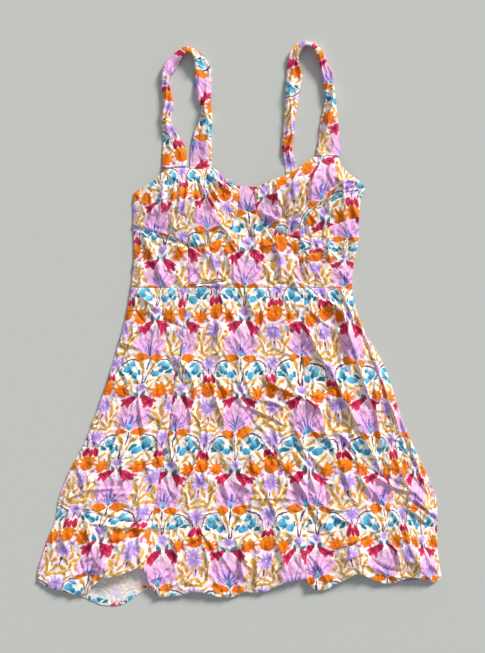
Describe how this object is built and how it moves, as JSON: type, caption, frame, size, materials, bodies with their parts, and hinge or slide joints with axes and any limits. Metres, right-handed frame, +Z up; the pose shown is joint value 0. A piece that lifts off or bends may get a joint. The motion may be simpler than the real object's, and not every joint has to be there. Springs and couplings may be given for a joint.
{
  "type": "sundress",
  "caption": "Sleeveless mini sundress with gathered cups, broad straps and a flared panelled skirt, lying flat on its back.",
  "frame": {"origin": "middle of the box at the surface that the dress lies on", "axes": "+Y along the dress from hem to straps, +Z up from the surface, out of the front of the dress, +X across it"},
  "size_m": [0.6476, 0.9012, 0.0232],
  "materials": {
    "crinkled_viscose_print": "matte crinkled plain weave with a printed floral repeat",
    "crinkled_viscose_wrong_side": "matte crinkled plain weave, the print's paler wrong side"
  },
  "bodies": {
    "root": {"skirt_back": "crinkled_viscose_wrong_side", "bodice_back": "crinkled_viscose_wrong_side", "skirt_front_left": "crinkled_viscose_print", "skirt_front_centre": "crinkled_viscose_print", "skirt_front_right": "crinkled_viscose_print", "midriff_left": "crinkled_viscose_print", "midriff_centre": "crinkled_viscose_print", "midriff_right": "crinkled_viscose_print", "cup_left": "crinkled_viscose_print", "cup_left_side": "crinkled_viscose_print", "cup_right": "crinkled_viscose_print", "cup_right_side": "crinkled_viscose_print", "strap_left": "crinkled_viscose_print", "strap_right": "crinkled_viscose_print"}
  },
  "joints": []
}
